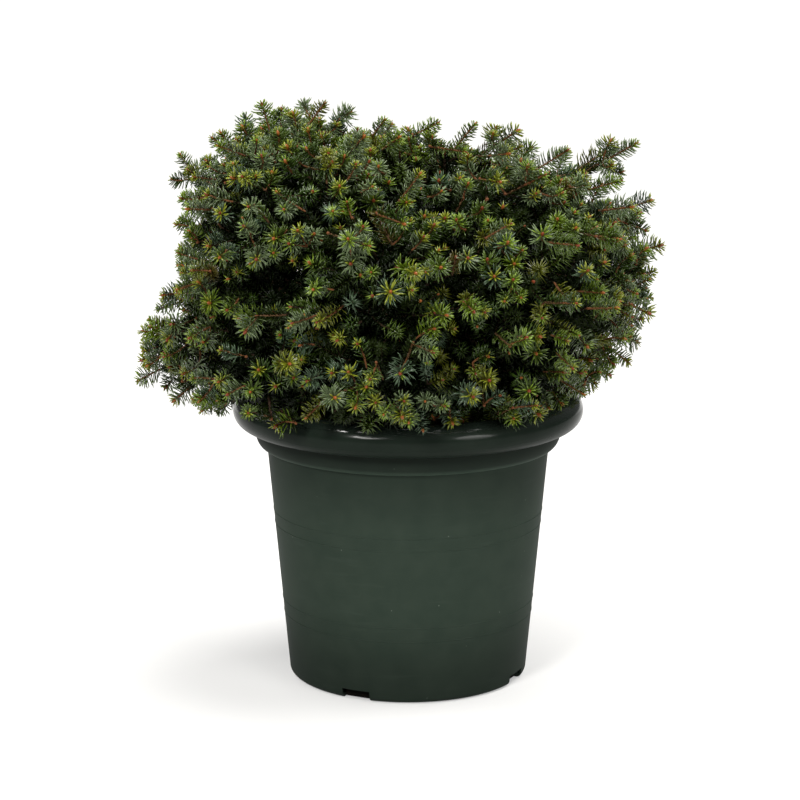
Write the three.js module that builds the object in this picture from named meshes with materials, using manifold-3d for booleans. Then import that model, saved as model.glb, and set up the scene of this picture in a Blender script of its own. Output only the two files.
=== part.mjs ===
// A dwarf spruce in its nursery pot: the pot, the soil in it, a short forked stem, the boughs and the
// masses of foliage that they carry. Millimetres, +Z up. The origin is the middle of the pot's underside,
// the front is -Y, and angles round the plant are counted from +X towards +Y.
import * as THREE from 'three';
import { mergeVertices } from 'three/addons/utils/BufferGeometryUtils.js';
import Module from 'manifold-3d';

const wasm = await Module();
wasm.setup();

// Driving dimensions
const GAP = 0.3; // clearance between one solid and the next
const FACETS = 36; // round the pot and the soil
const SHORT_EDGE = 0.02; // edges of a joined mass that are shorter than this are closed up
const SAME_POINT = 0.001; // corners nearer than this are one
const ROUNDINGS = [2, 3, 4]; // decimal places at which a joined mass has to stay closed

const POT = {
  baseRadius: 89.3,
  footRound: 4,
  floor: 3,
  wall: 2.2,
  wallTop: 173.4, // where the plain wall meets the collar
  wallTopRadius: 104.8,
  collarLow: { radius: 106.2, height: 174 },
  collarHigh: { radius: 113.5, height: 185 },
  roll: { centre: 118.2, height: 201.2, radius: 11.8, lip: -80 }, // the rolled rim and where its lip ends
};

const DRAIN = { count: 4, turn: -115.5, width: 22, height: 7.5, depth: 12 };

const SOIL_LEVEL = 197;

const STEM = {
  top: 260, lean: [-3, 2], footRadius: 10, topRadius: 7, flare: 6, flareFall: 9, sides: 10, steps: 8,
};
const SEATINGS = 4; // times that a bough's root is moved against the stem

// The bare middle of the crown, where only limbs are, as an ellipsoid
const HEART = { centre: new THREE.Vector3(-5, 0, 268), radii: new THREE.Vector3(58, 58, 42) };
const FORK = new THREE.Vector3(-1, 0, 238); // the boughs fan out from here

// Rings of masses, from the skirt over the rim to the crest. Each mass is an ellipsoid of these radii,
// cut off half-way to its neighbours. The crest has two lobes, the left one higher than the right.
const SKIRT = {
  count: 8, turn: 0, middle: -14, out: 113, height: 244, radii: [72, 72, 49], branchAt: 213, limb: [4, 2.6],
};
const MIDDLE = {
  count: 7, turn: 0, middle: 1, out: 105, height: 298, radii: [81, 81, 66], branchAt: 234, limb: [4.4, 2.8],
};
const CREST = {
  lobes: [
    { side: 'left', x: -78, height: 343 },
    { side: 'right', x: 88, height: 326 },
  ],
  ends: [
    { end: 'front', y: -54 },
    { end: 'back', y: 54 },
  ],
  radii: [92, 92, 87],
  branchAt: 250,
  limb: [4.8, 3.2],
};
const NEST = { centre: [2, 0, 330], radii: [80, 110, 58], limb: [4.8, 3.2] }; // between the crest's lobes

const RIM_SLOPE = 20; // degrees that the underside of the crown falls away outside the rim
const HALF_GAP = 0.5; // from the space of a mass to the plane half-way to the next
const CORE_SHARE = [0.65, 0.79]; // how far a core comes out towards the outside of its mass
const SEAM_SHARE = 0.92; // and towards the planes that part it from the next

// How shoots grow: lengths in mm, angles in degrees
const GROWTH = {
  years: 3, step: 31, shortest: 14, clear: 29, whorl: 8, firstWhorl: 10, sideAngle: 58, firstAngle: 78,
  pull: 0.3, // how much the shoots lean outwards
  angles: [0.75, 1.25], // the spread of the side shoots' angles
  lengths: [0.85, 1.15], // and of the shoots' lengths
};

const NEEDLE = {
  length: 18, forward: 0.6, rows: [0.42, 0.68, 0.92], coreRadius: 2.4, tipRadius: 1.5,
  sink: [3, 9], // how deep a spray's root goes back into the shoot before it
};
const SPRAY_TURNS = [0, 25, 50, 75]; // degrees: a spray is turned on where it would not join cleanly

// Seeded numbers between 0 and 1
function seededRandom(seed) {
  let state = seed;
  return () => {
    state = (state + 0x6d2b79f5) | 0;
    let mixed = Math.imul(state ^ (state >>> 15), 1 | state);
    mixed = (mixed + Math.imul(mixed ^ (mixed >>> 7), 61 | mixed)) ^ mixed;
    return ((mixed ^ (mixed >>> 14)) >>> 0) / 4294967296;
  };
}

function between([low, high], random) {
  return low + (high - low) * random();
}

const radians = THREE.MathUtils.degToRad;
const degrees = THREE.MathUtils.radToDeg;

// A closed geometry as a solid: shared corners are merged, and triangles with no area are dropped
function solid(geometry) {
  const bare = geometry.clone();
  bare.deleteAttribute('normal');
  bare.deleteAttribute('uv');
  const merged = mergeVertices(bare, SAME_POINT);
  const corners = Array.from(merged.index.array);
  const triangles = [];
  for (let i = 0; i < corners.length; i += 3) {
    const [a, b, c] = corners.slice(i, i + 3);
    if (a !== b && b !== c && c !== a) triangles.push(a, b, c);
  }
  return new wasm.Manifold(new wasm.Mesh({
    numProp: 3,
    vertProperties: new Float32Array(merged.attributes.position.array),
    triVerts: new Uint32Array(triangles),
  }));
}

// Points and triangles as a geometry
function shell(points, triangles) {
  const geometry = new THREE.BufferGeometry();
  geometry.setAttribute('position', new THREE.Float32BufferAttribute(points.flatMap((p) => p.toArray()), 3));
  geometry.setIndex(triangles);
  return geometry;
}

// A solid's surface as a geometry
function surface(part) {
  const { vertProperties, triVerts } = part.getMesh();
  const geometry = new THREE.BufferGeometry();
  geometry.setAttribute('position', new THREE.BufferAttribute(new Float32Array(vertProperties), 3));
  geometry.setIndex(new THREE.BufferAttribute(new Uint32Array(triVerts), 1));
  return geometry;
}

// The largest body of a joined solid, without short edges, loose scraps and sealed hollows
function mainBody(part) {
  const settled = solid(surface(part.simplify(SHORT_EDGE)));
  return settled.decompose().reduce((largest, next) => (next.volume() > largest.volume() ? next : largest));
}

// Whether each edge of a solid has two ends and just two faces, with its corners rounded coarsely and finely
function isSound(part) {
  const { vertProperties, triVerts } = part.getMesh();
  return ROUNDINGS.every((decimals) => {
    const places = Array.from({ length: vertProperties.length / 3 }, (_, corner) => (
      Array.from(vertProperties.slice(3 * corner, 3 * corner + 3), (value) => value.toFixed(decimals)).join()
    ));
    const faces = new Map();
    triVerts.forEach((corner, i) => {
      const next = triVerts[i % 3 === 2 ? i - 2 : i + 1];
      const edge = [places[corner], places[next]].sort().join(' ');
      const count = places[corner] === places[next] ? Infinity : 1;
      faces.set(edge, (faces.get(edge) ?? 0) + count);
    });
    return [...faces.values()].every((count) => count === 2);
  });
}

const plant = new THREE.Group();

function addPart(name, part, colour, roughness) {
  const geometry = surface(part);
  geometry.computeVertexNormals();
  const material = new THREE.MeshStandardMaterial({ color: colour, roughness, metalness: 0 });
  const mesh = new THREE.Mesh(geometry, material);
  mesh.name = name;
  plant.add(mesh);
}

// Pot: a tapered wall with a rounded foot, a swelling collar and a rolled rim that is open below
function arc(centre, height, radius, from, to, steps) {
  return Array.from({ length: steps + 1 }, (_, i) => {
    const angle = radians(from + ((to - from) * i) / steps);
    return new THREE.Vector2(centre + radius * Math.cos(angle), height + radius * Math.sin(angle));
  });
}

function collarCurve(inset) {
  const { collarLow: low, collarHigh: high } = POT;
  const steps = 2;
  return Array.from({ length: steps + 1 }, (_, i) => {
    const angle = (Math.PI / 2) * (i / steps);
    const radius = low.radius + (high.radius - low.radius) * Math.sin(angle);
    const height = low.height + (high.height - low.height) * (1 - Math.cos(angle));
    return new THREE.Vector2(radius - inset, height);
  });
}

// The inside of the wall from the floor to just under the rim, moved in by a clearance
function innerWall(clearance) {
  const inset = POT.wall + clearance;
  return [
    new THREE.Vector2(POT.baseRadius + POT.wall / 4 - inset, POT.floor + clearance),
    new THREE.Vector2(POT.wallTopRadius - inset, POT.wallTop),
    ...collarCurve(inset),
  ];
}

function potSolid() {
  const { roll } = POT;
  const inside = roll.radius - POT.wall;
  const collarRadius = POT.collarHigh.radius;
  const meets = (radius, wallRadius) => degrees(Math.acos((wallRadius - roll.centre) / radius));
  const foot = arc(POT.baseRadius - POT.footRound, POT.footRound, POT.footRound, -90, 0, 3);
  const profile = [
    new THREE.Vector2(0, 0),
    ...foot,
    new THREE.Vector2(POT.wallTopRadius, POT.wallTop),
    ...collarCurve(0),
    ...arc(roll.centre, roll.height, inside, meets(inside, collarRadius), roll.lip, 5),
    ...arc(roll.centre, roll.height, roll.radius, roll.lip, meets(roll.radius, collarRadius - POT.wall), 8),
    ...innerWall(0).reverse(),
    new THREE.Vector2(0, POT.floor),
  ];
  let pot = solid(new THREE.LatheGeometry(profile, FACETS).rotateX(Math.PI / 2));
  for (let i = 0; i < DRAIN.count; i += 1) {
    const notch = new THREE.BoxGeometry(2 * DRAIN.depth, DRAIN.width, 2 * DRAIN.height);
    notch.translate(POT.baseRadius, 0, 0);
    notch.rotateZ(radians(DRAIN.turn + (360 * i) / DRAIN.count));
    pot = pot.subtract(solid(notch));
  }
  return pot;
}

// Soil: fills the pot to just under the rim
function soilSolid() {
  const side = innerWall(GAP);
  const top = side.at(-1);
  const profile = [
    new THREE.Vector2(0, side[0].y),
    ...side,
    new THREE.Vector2(top.x, SOIL_LEVEL),
    new THREE.Vector2(0, SOIL_LEVEL),
  ];
  return solid(new THREE.LatheGeometry(profile, FACETS).rotateX(Math.PI / 2));
}

// A limb along a curve: a closed cylinder bent to it, its radius given along the way
function limbSolid(curve, radiusAt, sides, steps) {
  const geometry = new THREE.CylinderGeometry(1, 1, 1, sides, steps);
  const { normals, binormals } = curve.computeFrenetFrames(steps, false);
  const places = geometry.attributes.position;
  for (let i = 0; i < places.count; i += 1) {
    const step = Math.round((places.getY(i) + 0.5) * steps);
    const along = step / steps;
    const place = curve.getPointAt(along)
      .addScaledVector(normals[step], places.getX(i) * radiusAt(along))
      .addScaledVector(binormals[step], -places.getZ(i) * radiusAt(along));
    places.setXYZ(i, place.x, place.y, place.z);
  }
  return solid(geometry);
}

// Stem: short, tapering and a little leaning, with a root flare and a flat cut on the soil
const stemFoot = new THREE.Vector3(0, 0, SOIL_LEVEL + GAP);
const stemTip = new THREE.Vector3(STEM.lean[0], STEM.lean[1], STEM.top);
const stemCurve = new THREE.QuadraticBezierCurve3(
  stemFoot,
  new THREE.Vector3(0, 0, (stemFoot.z + STEM.top) / 2),
  stemTip,
);

function stemRadius(along) {
  const taper = THREE.MathUtils.lerp(STEM.footRadius, STEM.topRadius, along);
  return taper + STEM.flare * Math.exp(-STEM.flareFall * along);
}

function alongStem(height) {
  return (height - stemFoot.z) / (STEM.top - stemFoot.z);
}

// The masses of foliage and the places of their middles
function ringMasses(kind, ring) {
  return Array.from({ length: ring.count }, (_, i) => {
    const angle = radians(ring.turn + (360 * i) / ring.count);
    return {
      name: `${kind}_${i + 1}`,
      centre: new THREE.Vector3(
        ring.middle + ring.out * Math.cos(angle),
        ring.out * Math.sin(angle),
        ring.height,
      ),
      radii: new THREE.Vector3(...ring.radii),
      branchAt: ring.branchAt,
      limb: ring.limb,
    };
  });
}

function crestMasses() {
  return CREST.lobes.flatMap((lobe) => CREST.ends.map((end) => ({
    name: `crest_${lobe.side}_${end.end}`,
    centre: new THREE.Vector3(lobe.x, end.y, lobe.height),
    radii: new THREE.Vector3(...CREST.radii),
    branchAt: CREST.branchAt,
    limb: CREST.limb,
  })));
}

const nest = {
  name: 'nest',
  centre: new THREE.Vector3(...NEST.centre),
  radii: new THREE.Vector3(...NEST.radii),
  limb: NEST.limb,
};

const masses = [...ringMasses('skirt', SKIRT), ...ringMasses('middle', MIDDLE), ...crestMasses(), nest];

// Each space is its ellipsoid, cut by planes: half-way to each other mass, in front of the bare heart of
// the crown, and over the rim of the pot. A plane keeps the side that its normal points to.
function planeThrough(normal, point) {
  return new THREE.Plane().setFromNormalAndCoplanarPoint(normal, point);
}

function heartPlane(centre) {
  const away = centre.clone().sub(HEART.centre);
  const onHeart = away.clone().divide(HEART.radii);
  const touch = HEART.centre.clone().addScaledVector(away, 1 / onHeart.length());
  const normal = touch.clone().sub(HEART.centre).divide(HEART.radii).divide(HEART.radii).normalize();
  return planeThrough(normal, touch);
}

function rimPlane(centre) {
  const slope = radians(RIM_SLOPE);
  const outward = new THREE.Vector3(centre.x, centre.y, 0).normalize();
  const normal = outward.multiplyScalar(Math.sin(slope));
  normal.z = Math.cos(slope);
  const { roll } = POT;
  const crest = roll.centre * Math.sin(slope) + roll.height * Math.cos(slope) + roll.radius + HALF_GAP;
  return new THREE.Plane(normal, -crest);
}

function spaceOf(mass) {
  const planes = masses.filter((other) => other !== mass).map((other) => {
    const normal = mass.centre.clone().sub(other.centre).normalize();
    const between = mass.centre.clone().add(other.centre).multiplyScalar(0.5);
    return planeThrough(normal, between.addScaledVector(normal, HALF_GAP));
  });
  planes.push(heartPlane(mass.centre), rimPlane(mass.centre));
  return { centre: mass.centre, radii: mass.radii, planes };
}

// How far a straight line goes before it leaves an ellipsoid, or crosses one of the planes
function reachInRound({ centre, radii }, from, direction) {
  const start = from.clone().sub(centre).divide(radii);
  const along = direction.clone().divide(radii);
  const a = along.dot(along);
  const b = start.dot(along);
  const c = start.dot(start) - 1;
  return c > 0 ? 0 : (Math.sqrt(b * b - a * c) - b) / a;
}

function reachInPlanes({ planes }, from, direction) {
  const lengths = planes.map((plane) => {
    const closing = -plane.normal.dot(direction);
    return closing > 1e-9 ? Math.max(plane.distanceToPoint(from), 0) / closing : Infinity;
  });
  return Math.min(...lengths);
}

function reach(space, from, direction) {
  return Math.min(reachInRound(space, from, direction), reachInPlanes(space, from, direction));
}

// A direction turned away from a heading by an angle, with a roll about it
function turned(heading, angle, roll) {
  const aside = Math.abs(heading.z) < 0.9 ? new THREE.Vector3(0, 0, 1) : new THREE.Vector3(1, 0, 0);
  const right = new THREE.Vector3().crossVectors(heading, aside).normalize();
  right.applyAxisAngle(heading, roll);
  return heading.clone().multiplyScalar(Math.cos(angle)).addScaledVector(right, Math.sin(angle));
}

// Shoots by a seeded rule: every tip puts out a leader and a whorl of side shoots that lean outwards. A shoot
// grows on to the edge of its space where that is near. One too short or too near another's end is skipped.
function growShoots(space, heading, random) {
  const shoots = [];
  let tips = [{ at: space.centre, heading }];
  for (let year = 1; year <= GROWTH.years; year += 1) {
    const grown = [];
    const side = radians(year === 1 ? GROWTH.firstAngle : GROWTH.sideAngle);
    const count = year === 1 ? GROWTH.firstWhorl : GROWTH.whorl;
    for (const tip of tips) {
      const roll = random() * 2 * Math.PI;
      const outward = tip.at.clone().sub(HEART.centre).normalize();
      for (let i = 0; i <= count; i += 1) {
        const angle = i === 0 ? 0 : side * between(GROWTH.angles, random);
        const direction = turned(tip.heading, angle, roll + (2 * Math.PI * i) / count)
          .addScaledVector(outward, GROWTH.pull)
          .normalize();
        const free = reach(space, tip.at, direction);
        const wanted = GROWTH.step * between(GROWTH.lengths, random);
        const length = free < wanted + GROWTH.shortest ? Math.min(free, wanted + GROWTH.shortest) : wanted;
        const end = tip.at.clone().addScaledVector(direction, length);
        const crowded = shoots.some((shoot) => shoot.end.distanceTo(end) < GROWTH.clear);
        if (length >= GROWTH.shortest && !crowded) {
          const start = tip.at.clone().addScaledVector(direction, -between(NEEDLE.sink, random));
          shoots.push({ start, end, direction });
          grown.push({ at: end, heading: direction });
        }
      }
    }
    tips = grown;
  }
  return shoots;
}

// A spray: a slim three-sided core with a pointed tip, and a needle standing out of each face of its outer rows
function sprayShell(space, shoot, turn) {
  const length = shoot.start.distanceTo(shoot.end);
  const rings = [0, ...NEEDLE.rows];
  const points = [];
  const triangles = [];
  rings.forEach((along, row) => {
    const radius = THREE.MathUtils.lerp(NEEDLE.coreRadius, NEEDLE.tipRadius, along);
    for (let side = 0; side < 3; side += 1) {
      const out = turned(shoot.direction, Math.PI / 2, turn + (2 * Math.PI * (side + row / 2)) / 3);
      const middle = shoot.start.clone().addScaledVector(shoot.direction, along * length);
      points.push(middle.addScaledVector(out, radius));
    }
  });
  const tip = points.push(shoot.end.clone()) - 1;
  triangles.push(0, 2, 1);
  for (let row = 0; row < rings.length - 1; row += 1) {
    for (let side = 0; side < 3; side += 1) {
      const low = [3 * row + side, 3 * row + ((side + 1) % 3)];
      const high = low.map((corner) => corner + 3);
      const root = [...low, ...high].map((corner) => points[corner]);
      const apex = row === 0 ? null : needleTip(space, shoot, root);
      if (apex === null) {
        triangles.push(low[0], low[1], high[1], low[0], high[1], high[0]);
      } else {
        const needle = points.push(apex) - 1;
        triangles.push(low[0], low[1], needle, low[1], high[1], needle);
        triangles.push(high[1], high[0], needle, high[0], low[0], needle);
      }
    }
  }
  const last = 3 * (rings.length - 1);
  for (let side = 0; side < 3; side += 1) {
    triangles.push(last + side, last + ((side + 1) % 3), tip);
  }
  return shell(points, triangles);
}

// Where a needle ends: out from its root and forward, and shorter where it would leave the space
function needleTip(space, shoot, root) {
  const sum = root.reduce((total, corner) => total.add(corner), new THREE.Vector3());
  const middle = sum.multiplyScalar(1 / root.length);
  const axis = shoot.start.clone()
    .addScaledVector(shoot.direction, middle.clone().sub(shoot.start).dot(shoot.direction));
  const direction = middle.clone().sub(axis).normalize()
    .addScaledVector(shoot.direction, NEEDLE.forward)
    .normalize();
  const length = Math.min(NEEDLE.length, reach(space, middle, direction));
  return length > NEEDLE.length / 3 ? middle.addScaledVector(direction, length) : null;
}

// Whether a spray keeps to its mass's space and clear of the stems of the others
function fits(spray, mass, space) {
  const places = spray.attributes.position;
  for (let i = 0; i < places.count; i += 1) {
    const corner = new THREE.Vector3().fromBufferAttribute(places, i);
    if (space.planes.some((plane) => plane.distanceToPoint(corner) < 0)) return false;
  }
  const body = solid(spray);
  return masses.every((other) => other === mass || body.intersect(other.stemRoom).isEmpty());
}

// A mass: its stem, a faceted core, and the sprays that stand out of it
function coreSolid(space, random) {
  const ball = new THREE.IcosahedronGeometry(1, 1);
  ball.deleteAttribute('normal');
  ball.deleteAttribute('uv');
  const core = mergeVertices(ball, SAME_POINT);
  const places = core.attributes.position;
  for (let i = 0; i < places.count; i += 1) {
    const direction = new THREE.Vector3().fromBufferAttribute(places, i).normalize();
    const outside = between(CORE_SHARE, random) * reachInRound(space, space.centre, direction);
    const seam = SEAM_SHARE * reachInPlanes(space, space.centre, direction);
    const place = space.centre.clone().addScaledVector(direction, Math.min(outside, seam));
    places.setXYZ(i, place.x, place.y, place.z);
  }
  return solid(core);
}

// A bough: one tapering limb from the side of the stem to where its mass begins. The nest's bough goes on
// from the stem's tip.
function boughPath(mass) {
  const heading = mass.centre.clone().sub(FORK).normalize();
  const tip = FORK.clone().addScaledVector(heading, reachInRound(HEART, FORK, heading));
  if (mass === nest) {
    const upward = stemCurve.getTangent(1);
    const root = stemTip.clone().addScaledVector(upward, GAP);
    const bend = root.clone().addScaledVector(upward, 0.5 * root.distanceTo(tip));
    return new THREE.QuadraticBezierCurve3(root, bend, tip);
  }
  const axis = stemCurve.getPoint(alongStem(mass.branchAt));
  const outward = new THREE.Vector3(heading.x, heading.y, 0).normalize();
  const knee = tip.clone().addScaledVector(heading, -0.5 * tip.distanceTo(axis));
  const root = axis.clone().addScaledVector(outward, STEM.footRadius + mass.limb[0]);
  const path = new THREE.QuadraticBezierCurve3(root, knee, tip);
  for (let i = 0; i < SEATINGS; i += 1) {
    root.addScaledVector(outward, GAP - clearOfStem(boughSolid(path, mass.limb)));
  }
  return path;
}

function boughSolid(path, [thick, thin]) {
  return limbSolid(path, (along) => THREE.MathUtils.lerp(thick, thin, along), 5, 3);
}

// How far a limb stays from the side of the stem, over its corners and the middles of its edges
function clearOfStem(limb) {
  const { vertProperties, triVerts } = limb.getMesh();
  const corners = Array.from(triVerts, (corner) => new THREE.Vector3().fromArray(vertProperties, 3 * corner));
  const places = corners.flatMap((corner, i) => {
    const next = corners[i % 3 === 2 ? i - 2 : i + 1];
    return [corner, corner.clone().lerp(next, 0.5)];
  });
  const distances = places.map((place) => {
    const along = THREE.MathUtils.clamp(alongStem(place.z), 0, 1);
    const axis = stemCurve.getPoint(along);
    return Math.hypot(place.x - axis.x, place.y - axis.y) - stemRadius(along);
  });
  return Math.min(...distances);
}

// The stem of a mass goes on from its bough's tip to the middle of the mass
function massStem(mass) {
  const heading = mass.bough.getTangent(1);
  const start = mass.bough.v2.clone().addScaledVector(heading, GAP);
  const bend = start.clone().addScaledVector(heading, 0.5 * start.distanceTo(mass.centre));
  return new THREE.QuadraticBezierCurve3(start, bend, mass.centre);
}

function massStemSolid(mass, clearance) {
  return limbSolid(mass.stem, () => 0.9 * mass.limb[1] + clearance, 5, 2);
}

function massSolid(mass, random) {
  const space = spaceOf(mass);
  let part = coreSolid(space, random);
  for (const other of masses) {
    if (other !== mass) part = part.subtract(other.stemRoom);
  }
  part = mainBody(part.add(massStemSolid(mass, 0)));
  for (const shoot of growShoots(space, mass.bough.getTangent(1), random)) {
    const joined = SPRAY_TURNS.map((turn) => sprayShell(space, shoot, radians(turn)))
      .filter((spray) => fits(spray, mass, space))
      .map((spray) => mainBody(part.add(solid(spray))))
      .find(isSound);
    if (joined) part = joined;
  }
  return part;
}

for (const mass of masses) {
  mass.bough = boughPath(mass);
  mass.stem = massStem(mass);
  mass.stemRoom = massStemSolid(mass, 2 * GAP);
}

addPart('pot', potSolid(), 0x37423a, 0.45);
addPart('soil', soilSolid(), 0x35281d, 0.95);
addPart('stem', limbSolid(stemCurve, stemRadius, STEM.sides, STEM.steps), 0x5a4232, 0.9);
masses.forEach((mass, i) => {
  addPart(`bough_${mass.name}`, boughSolid(mass.bough, mass.limb), 0x6a4a33, 0.9);
  addPart(`foliage_${mass.name}`, massSolid(mass, seededRandom(i + 1)), 0x3f5a34, 0.8);
});

export default plant;
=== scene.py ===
import math

import bpy
import numpy as np
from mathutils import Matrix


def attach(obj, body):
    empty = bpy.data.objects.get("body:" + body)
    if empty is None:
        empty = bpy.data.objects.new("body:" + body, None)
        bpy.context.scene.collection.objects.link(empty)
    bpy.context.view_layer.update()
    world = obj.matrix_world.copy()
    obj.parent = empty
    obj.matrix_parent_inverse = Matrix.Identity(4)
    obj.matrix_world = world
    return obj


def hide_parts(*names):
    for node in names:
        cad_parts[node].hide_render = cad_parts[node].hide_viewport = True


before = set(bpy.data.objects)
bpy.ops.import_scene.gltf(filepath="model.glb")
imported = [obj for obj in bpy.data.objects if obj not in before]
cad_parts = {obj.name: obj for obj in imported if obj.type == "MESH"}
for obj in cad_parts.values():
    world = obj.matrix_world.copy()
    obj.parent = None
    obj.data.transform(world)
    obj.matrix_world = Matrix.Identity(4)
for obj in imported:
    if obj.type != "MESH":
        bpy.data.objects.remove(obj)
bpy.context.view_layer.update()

MM = 0.001  # lengths below are in mm, as in the part, and meshes are in metres

# Pot, as in the part, with its faint rings
POT_FACETS = 192
BASE_RADIUS, FOOT_ROUND, POT_FLOOR, WALL = 89.3, 4.0, 3.0, 2.2
WALL_TOP, WALL_TOP_RADIUS = 173.4, 104.8
COLLAR_LOW, COLLAR_HIGH = (106.2, 174.0), (113.5, 185.0)
ROLL_CENTRE, ROLL_HEIGHT, ROLL_RADIUS, ROLL_LIP = 118.2, 201.2, 11.8, -80.0
RINGS = (47.5, 58.0, 116.2, 125.8)  # heights of the faint rings on the wall
RING_RISE, RING_HALF = 0.28, 0.5
RING_SHAPE = ((-1, 0), (-0.4, 0.8), (0, 1), (0.4, 0.8), (1, 0))  # shares of RING_HALF and RING_RISE
FOOT_STEPS, WALL_STEPS, COLLAR_STEPS, INNER_COLLAR_STEPS = 8, 18, 10, 6
UNDER_ROLL_STEPS, ROLL_STEPS = 20, 36
DRAIN_TURNS = (-115.5, -25.5, 64.5, 154.5)
DRAIN_SIZE = (24.0, 22.0, 15.0)
PLUG_OUT, PLUG_DEEP, PLUG_GAP, PLUG_ROUND = 79.0, 9.0, 0.6, 0.8  # soil that shows in each drain notch
SOIL_LEVEL, SOIL_GAP, SOIL_DEEP, SOIL_DROP = 197.0, 0.3, 10, 3  # its gap to the wall, depth and lower edge
SOIL_FACETS, SOIL_RINGS, SOIL_STEP, SOIL_ROUND = 120, 40, 2, 8
POT_GREENS = ((0.3, (0.033, 0.0505, 0.0378)), (0.7, (0.0415, 0.060, 0.0452)))
SCUFF_GREY, SPECK_GREY = (0.046, 0.066, 0.051), (0.18, 0.21, 0.18)
WALL_GLOSS, RIM_GLOSS, SPECK_CELLS = 0.52, 0.08, 75.0
WALL_SHINE, RIM_SHINE = 0.04, 0.55
RIM_GLOSS_TO, RIM_SHINE_FROM, RIM_SHINE_TO = -2, 3, 9  # heights over the middle of the rolled rim
GRAIN_SCALE, GRAIN_DETAIL, GRAIN_BUMP, GRAIN_GLOSS = 60, 6, 0.03, 0.16
SCUFF_SCALE, SCUFF_DETAIL, SCUFF_STRETCH, SCUFF_EDGES = 28, 8, (1, 1, 7), (0.60, 0.82)
SPECK_EDGES = (0.02, 0.034)
BLACK, WHITE = (0, 0, 0), (1, 1, 1)

# Painted shade and light by shares of the pot's height: darker at the foot, the top of the wall, the collar
# and the rim, palest mid-wall, with a painted highlight line under the collar
POT_PAINTED_SHADE = (
    (0.0, 0.30), (0.12, 0.36), (0.32, 0.59), (0.62, 0.58), (0.75, 0.42), (0.80, 0.39),
    (0.812, 0.42), (0.82, 0.82), (0.835, 0.27), (0.87, 0.20), (0.90, 0.22), (1.0, 0.26),
)

COMPOST = ((0.3, (0.008, 0.006, 0.004)), (0.55, (0.03, 0.02, 0.013)), (0.75, (0.06, 0.04, 0.026)))
# Soil does show in the drain notches, but this near-black compost, darker than the soil, is painted shade for
# the notches' dark inside
NOTCH_SHADE_COMPOST = ((0.3, (0.001, 0.001, 0.001)), (0.7, (0.004, 0.003, 0.002)))
BARK = ((0.3, (0.03, 0.018, 0.011)), (0.55, (0.085, 0.05, 0.03)), (0.75, (0.15, 0.10, 0.07)))

# Stem, heart of the crown and masses, as in the part
STEM_TOP, STEM_LEAN = 260.0, (-3.0, 2.0)
STEM_FOOT_RADIUS, STEM_TOP_RADIUS, STEM_FLARE = 10.0, 7.0, 6.0
FLARE_FALL, STEM_SUNK, STEM_POINTS = 9, 4, 9
BOUGH_POINTS, CARRIED_POINTS = 7, 6
LIMB_END = 0.62  # how thick a limb ends, as a share of its bough's tip
STEM_FINENESS, BOUGH_FINENESS = 6, 4
KNEE, NEST_SUNK = 0.5, 0.1  # shares of a bough's length and of the stem's upper half
HEART = np.array([-5.0, 0.0, 268.0])
HEART_RADII = np.array([58.0, 58.0, 42.0])
FORK = np.array([-1.0, 0.0, 238.0])
RIM_SLOPE, HALF_GAP = 20.0, 0.5
SKIRT = dict(
    kind="skirt", count=8, middle=-20, out=113, height=244, radii=(72, 72, 49), branch=213, limb=(4, 2.6)
)
MIDDLE = dict(
    kind="middle", count=7, middle=1, out=105, height=298, radii=(81, 81, 66), branch=234, limb=(4.4, 2.8)
)
CREST = (
    ("left_front", -78, -54, 340),
    ("left_back", -78, 54, 340),
    ("right_front", 88, -54, 307),
    ("right_back", 88, 54, 307),
)
CREST_RADII, CREST_BRANCH, CREST_LIMB = (92, 92, 87), 250, (4.8, 3.2)
NEST_CENTRE, NEST_RADII, NEST_LIMB = (6, 0, 345), (84, 110, 66), (4.8, 3.2)

# The part's growth rule, carried on to finer twigs
YEARS, STEP, SHORTEST, CLEAR = 6, 21.0, 9.0, 13.5
WHORL, FIRST_WHORL = 7, 10
SIDE_ANGLE, FIRST_ANGLE = math.radians(54), math.radians(76)
PULL = 0.4  # how much a new shoot turns to the outside
FACE_OUT = 2.2  # how much an outer tip bends round to the outside at its end
ANGLE_SPREAD, LENGTH_SPREAD = (0.75, 1.25), (0.8, 1.2)
ROUND_SPREAD = (0.80, 0.97)  # how far towards the outside of its mass a shoot may reach
LAYER_SHARE, LAYER_RISE, WAVES = 0.815, 0.06, 10  # long waves lay the crown's outside in tufts and recesses
WAVE_HEIGHTS, WAVE_WIDTHS = (22.0, 34.0), (60.0, 140.0)
LEADER_TRIES, LEADER_SPACING, LEADER_DEPTHS, LEADER_LOW = 6000, 34.0, (2.0, 8.0), 225.0
LEADER_FROM = np.array([-75.0, 0.0, 300.0])  # the longest shoots lean away from here
LEADER_FLAT = np.array([1.0, 1.0, 0.6])
LEADER_LEAN, LEADER_GAP, LEADER_REACH, LEADER_STEP = 0.85, 14, 70, 24
LEADER_SIDES, LEADER_SIDE_LENGTHS, LEADER_SIDE_CLEAR = 4, (0.6, 0.9), 0.7
FOOT = np.array([0.0, 0.0, 210.0])  # the shoots that fill the crown grow away from here
FILL_TRIES, FILL_REACH, FILL_LEAN, FILL_CLEAR = 30000, 34.0, 0.45, 10.8
HEART_SHARE = 1.35  # the room round the crown's heart that shoots fill, as a share of the heart
BLEND, MEAN_RADIUS = 6.0, 76.0  # how sharply the rounds of the masses meet, and about how large they are
RIM_CLEAR, SOIL_CLEAR = 5.0, 8.0  # between the shoots and the pot
RIM_TOP, HANG_SLOPE = 217.0, 0.12  # how low shoots may hang outside the pot
MOST_SHOOTS, FAR = 20000, 1e9
STEEP, TINY = 0.9, 1e-9

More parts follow.
